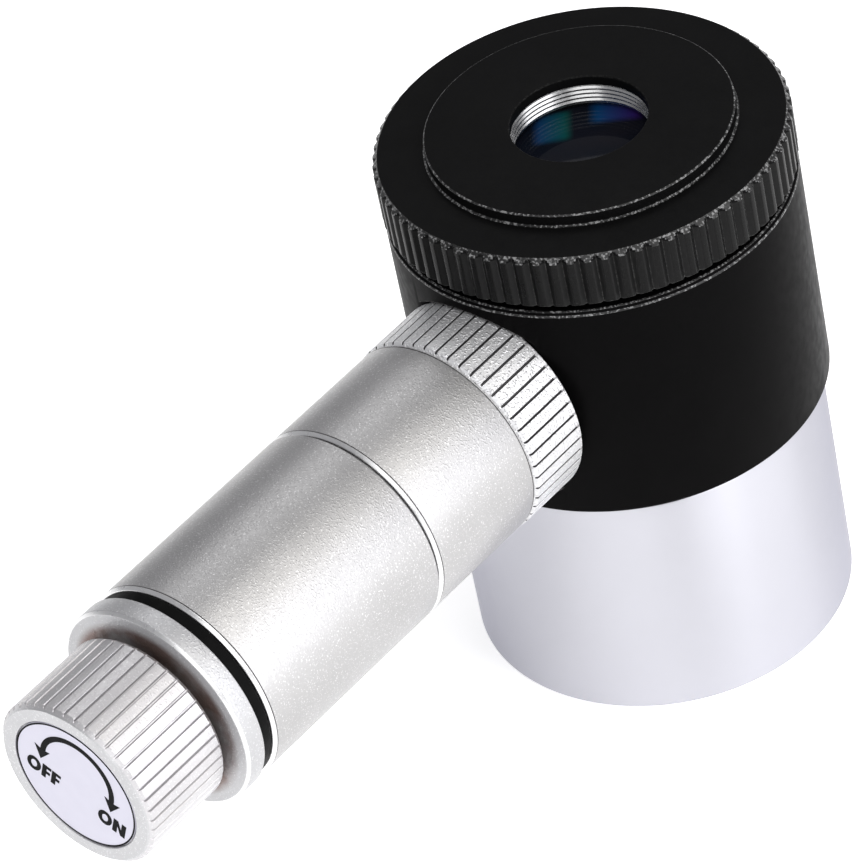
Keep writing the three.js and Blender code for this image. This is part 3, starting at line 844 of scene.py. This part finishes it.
def dimmer_knob():
    """Fluted knob, hollow behind, with a recess in front for its label."""
    _, start, end = outward("knob")
    radius, nut_room, nut_room_end, core, core_end = 7.4, 5.3, 59.1, 3.7, 64.4
    recess, depth, chamfer, flutes = 5.9, 0.35, 0.38, 45
    outline = [(0, core_end), (core, core_end), (core, nut_room_end), (nut_room, nut_room_end)]
    outline += [(nut_room, start), (radius - 0.6, start, radius)]
    outline += line((radius - 0.3, start), (radius, start + 0.35), 4, radius)
    outline += line((radius, start + 0.5), (radius, end - chamfer - 0.15), 4, radius)
    outline += line((radius, end - chamfer), (radius - chamfer, end), 7, radius)
    outline += [(recess + 0.06, end), (recess, end - 0.06), (recess, end - depth), (0, end - depth)]
    made = piece("knob_fluted", turned(outline, knurled(flutes, NARROW_GROOVE), False), LAMP_AXIS,
                 LOOKS["knob"], "dimmer_knob", "turned_aluminium", "knob")
    # painted shade in the flutes
    second_look(made, LOOKS["knob_flute_painted_shade"], cut_into(radius, start + 0.5, end, chamfer))
    second_look(made, LOOKS["turned"], beyond(-1, end - 0.1))


LABEL_TURN = Matrix.Rotation(math.radians(-22.5), 2)


def on_label(points):
    return [tuple(LABEL_TURN @ Vector(p)) for p in points]


def letter(kind, x, y, height):
    """Outline of one bold capital with its middle at x, y, and of its hole if it has one."""
    if kind == "O":
        return oval(x, y, 0.43 * height, 0.52 * height), oval(x, y, 0.19 * height, 0.28 * height)
    thick = 0.27
    wide = {"F": 0.55, "N": 0.78}[kind]
    corners = {
        "F": [(0, 0), (thick, 0), (thick, 0.37), (0.5, 0.37), (0.5, 0.58),
              (thick, 0.58), (thick, 0.79), (wide, 0.79), (wide, 1), (0, 1)],
        "N": [(0, 0), (thick, 0), (thick, 0.58), (wide - thick, 0), (wide, 0),
              (wide, 1), (wide - thick, 1), (wide - thick, 0.42), (thick, 1), (0, 1)],
    }[kind]
    return [(x + (px - wide / 2) * height, y + (py - 0.5) * height) for px, py in corners], None


def label():
    """Printed face: a thin circle, a turning arrow, and OFF and ON."""
    radius, start, top = outward("knob_label")
    outline = [(0, start), (radius, start), (radius, top - 0.05), (radius - 0.05, top), (0, top)]
    piece("label_face_disc", turned(outline, plain(SMOOTH_SIDES), False), LAMP_AXIS, LOOKS["label"],
          "dimmer_knob", "label_face", "knob_label")
    low, high = top - 0.02, top + 0.02

    def printed(name, *shapes):
        """Ink shapes as one piece that turns with the knob."""
        piece(name, together(*shapes), LAMP_AXIS, LOOKS["ink"], "dimmer_knob", "label_face")

    circle, stroke = radius - 0.03, 0.13
    outer, inner = (oval(0, 0, r, r, CIRCLE_POINTS) for r in (circle, circle - stroke))
    printed("label_circle", band(outer, inner, low, high))
    bend_y, bend_r, half = 1.33, 3.34, 0.25
    first, swept, steps = -4, 188, 48
    sweep = [math.radians(first + swept * i / steps) for i in range(steps + 1)]
    arc = [((bend_r + half) * math.cos(a), bend_y + (bend_r + half) * math.sin(a)) for a in sweep]
    arc += [((bend_r - half) * math.cos(a), bend_y + (bend_r - half) * math.sin(a)) for a in reversed(sweep)]
    heads = []
    for side in (-1, 1):
        x, tip, back, wide = side * 3.42, 0.0, 1.38, 0.74
        head = [(x - wide, back), (x, tip), (x + wide, back), (x, back - 0.2)]
        heads.append(plate(on_label(head), low, high + 0.004))
    printed("label_arrow", plate(on_label(arc), low, high), *heads)
    letter_middle, letter_height = -1.19, 1.55
    for name, word in (
        ("label_off", (("O", -3.94), ("F", -2.73), ("F", -1.8))),
        ("label_on", (("O", 3.04), ("N", 4.42))),
    ):
        shapes = []
        for kind, x in word:
            outer, inner = letter(kind, x, letter_middle, letter_height)
            if inner:
                shapes.append(band(on_label(outer), on_label(inner), low, high))
            else:
                shapes.append(plate(on_label(outer), low, high))
        printed(name, *shapes)


# ---------------------------------------------------------------- inside the lamp tube
def stem():
    """Threaded nipple that screws into the body, with the flange that the lamp's board sits on."""
    radius, tip, end = 2.95, *outward("illuminator_stem")[1:]
    bore, flange, flange_r, well = 1.8, 18.5, 5.0, 2.25
    outline = [(bore, tip), (radius - 0.3, tip)]
    outline += thread(radius, radius - 0.22, tip + 0.3, flange - 0.4, 0.75)
    well_floor = flange - 0.8
    outline += [(radius - 0.22, flange), (flange_r, flange), (flange_r, end), (well, end)]
    outline += [(well, well_floor), (bore, well_floor)]
    piece("stem", turned(soften(outline, 0.05, 2), plain(SMALL_SIDES)), LAMP_AXIS, LOOKS["turned"],
          "lamp_core", "turned_aluminium", "illuminator_stem")


def led():
    """Round-nosed lamp with a rim at its foot."""
    _, tip, end = outward("led_lamp")
    radius, rim, rim_start = 1.5, 1.9, 17.8
    outline = [
        (radius * math.sin(a), tip + radius * (1 - math.cos(a)))
        for a in (math.radians(9 * i) for i in range(11))
    ]
    outline[0] = (0, tip)
    outline += [(radius, rim_start), (rim, rim_start), (rim, end - 0.05), (rim - 0.05, end), (0, end)]
    piece("led", turned(outline, plain(LAMP_SIDES), False), LAMP_AXIS, LOOKS["red"],
          "lamp_core", "red_lamp", "led_lamp")


def button_cells():
    """Steel cans with a crimped edge and a narrower raised cap."""
    for index in (1, 2):
        radius, start, end = outward(f"button_cell_{index}")
        rise = 0.6
        outline = [
            (0, start), (radius - 1.1, start), (radius - 0.95, start + rise - 0.1),
            (radius - 0.6, start + rise - 0.02), (radius - 0.3, start + rise), (radius, start + rise + 0.3),
            (radius, end), (radius - 1.5, end), (radius - 1.6, end - 0.05), (0, end - 0.05),
        ]
        piece(f"cell_{index}", turned(soften(outline, 0.12, 3, False), plain(SMALL_SIDES), False), LAMP_AXIS,
              LOOKS["nickel"], "battery_pack", "nickel_plate", f"button_cell_{index}")


def spring():
    """Cone-shaped wire spring."""
    _, start, _ = outward("contact_spring")
    turns, rise, wire, sides, steps = 3.5, 2.6, 0.19, 12, 220
    wide, taper = 4.4, 1.9
    points, faces = [], []
    for i in range(steps + 1):
        t = i / steps
        angle, radius = 2 * math.pi * turns * t, wide - taper * t
        out = Vector((math.cos(angle), -math.sin(angle), 0))
        middle = out * radius + Vector((0, 0, start + 0.2 + rise * t))
        for k in range(sides):
            a = 2 * math.pi * k / sides
            points.append(tuple(middle + out * wire * math.cos(a) + Vector((0, 0, wire * math.sin(a)))))
    for i in range(steps):
        for k in range(sides):
            j = (k + 1) % sides
            faces.append([i * sides + k, i * sides + j, (i + 1) * sides + j, (i + 1) * sides + k])
    faces += [list(range(sides)), list(range(steps * sides, (steps + 1) * sides))]
    piece("spring_wire", (points, faces), LAMP_AXIS, LOOKS["spring"],
          "lamp_shell", "spring_steel", "contact_spring")


def sleeve():
    """Insulating sleeve round the cells."""
    radius, start, end = outward("battery_sleeve")
    bore = 6.0
    outline = [(bore, start), (radius, start), (radius, end), (bore, end)]
    piece("sleeve", turned(soften(outline, 0.15), plain(SMALL_SIDES)), LAMP_AXIS, LOOKS["white"],
          "battery_pack", "white_plastic", "battery_sleeve")


KEPT_NODES = {
    "reticle_cell": "matt", "reticle_retainer": "matt", "lens_spacer": "matt",
    "led_lead_anode": "nickel", "led_lead_cathode": "nickel", "led_board": "board",
    "front_insulator": "white", "front_contact": "brass", "rear_contact": "brass",
    "dimmer_body": "dark", "dimmer_bushing": "nickel", "lock_washer": "nickel", "lock_nut": "nickel",
    "knob_core": "brass", "dimmer_shaft": "nickel",
}


def dress_kept_nodes():
    """Better materials for the CAD nodes that stay as they are."""
    for name, finish in KEPT_NODES.items():
        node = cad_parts[name]
        for place in node.material_slots:
            place.link = "OBJECT"
            place.material = LOOKS[finish]


for build in (barrel, body, focus_ring, lens_unit, crosshair, collar, lamp_tube, battery_tube, seal, cap,
              dimmer_knob, label, stem, led, button_cells, spring, sleeve, dress_kept_nodes):
    build()


# ---------------------------------------------------------------- floor, light and camera
def floor():
    """Pale floor, lit from within a little so that it stays even."""
    look, tree, surface = new_look("floor")
    surface.inputs["Roughness"].default_value = 0.9
    surface.inputs["Specular IOR Level"].default_value = 0.0
    surface.inputs["Emission Color"].default_value = (1, 1, 1, 1)
    surface.inputs["Emission Strength"].default_value = 0.5
    tree.links.new(blend_colour(tree, noise(tree, 0.01, 2), (0.93, 0.93, 0.93), (0.95, 0.95, 0.95)),
                   surface.inputs["Base Color"])
    half = 3.0
    mesh = bpy.data.meshes.new("floor")
    corners = [(-half, -half, 0), (half, -half, 0), (half, half, 0), (-half, half, 0)]
    mesh.from_pydata(corners, [], [(0, 1, 2, 3)])
    mesh.materials.append(look)
    made = bpy.data.objects.new("floor", mesh)
    bpy.context.scene.collection.objects.link(made)


def area_light(name, towards, distance, width, height, watts, colour=(1, 1, 1)):
    """A soft light placed in a direction from the object's middle, facing it."""
    middle = Vector((0, -0.02, 0.03))
    lamp = bpy.data.lights.new(name, "AREA")
    lamp.shape = "RECTANGLE"
    lamp.size, lamp.size_y = width, height
    lamp.energy = watts
    lamp.color = colour
    made = bpy.data.objects.new(name, lamp)
    direction = Vector(towards).normalized()
    made.location = middle + direction * distance
    made.rotation_euler = direction.to_track_quat("Z", "Y").to_euler()
    bpy.context.scene.collection.objects.link(made)


def lights():
    """Soft panels all round and a pale room, which the metal reflects as a gradient."""
    world = bpy.data.worlds.new("studio")
    world.use_nodes = True
    room = world.node_tree.nodes["Background"]
    room.inputs["Color"].default_value = (0.96, 0.96, 1, 1)
    room.inputs["Strength"].default_value = 0.4
    bpy.context.scene.world = world
    cool, warm = (0.97, 0.97, 1), (1, 0.98, 0.93)
    area_light("right_wall", (0.9, 0.25, 0.22), 0.75, 0.7, 0.7, 3.8, cool)
    area_light("low_right", (0.98, -0.2, 0.2), 0.75, 0.35, 0.4, 1.0, cool)
    area_light("upper_right", (0.6, 0.25, 0.9), 0.9, 0.7, 0.7, 2.6, warm)
    area_light("upper_back", (-0.42, 0.53, 0.86), 0.9, 0.4, 0.4, 0.7)
    area_light("over_camera", (0.35, -0.5, 1.2), 1.0, 0.5, 0.5, 2.4)
    area_light("front_wall", (0.4, -0.85, 0.42), 0.8, 0.6, 0.5, 1.6)


def camera():
    """Stands where the eyepiece looks as it does in the reference view."""
    azimuth, elevation, roll = math.radians(46.744), math.radians(38.813), math.radians(-12.478)
    aim = Vector((-10.64, -13.18, 22.0)) * MM
    distance = 433.48 * MM
    back = Vector((
        math.sin(azimuth) * math.cos(elevation),
        -math.cos(azimuth) * math.cos(elevation),
        math.sin(elevation),
    ))
    level = Vector((math.cos(azimuth), math.sin(azimuth), 0))
    rise = back.cross(level)
    right = level * math.cos(roll) + rise * math.sin(roll)
    up = rise * math.cos(roll) - level * math.sin(roll)
    lens = bpy.data.cameras.new("camera")
    lens.lens = 222.9
    lens.sensor_width = 36
    lens.sensor_fit = "HORIZONTAL"
    lens.clip_start = 0.01
    lens.clip_end = 50
    made = bpy.data.objects.new("camera", lens)
    place = Matrix((right, up, back)).transposed().to_4x4()
    place.translation = aim + back * distance
    made.matrix_world = place
    bpy.context.scene.collection.objects.link(made)
    bpy.context.scene.camera = made


floor()
lights()
camera()
bpy.context.scene.view_settings.view_transform = "Standard"
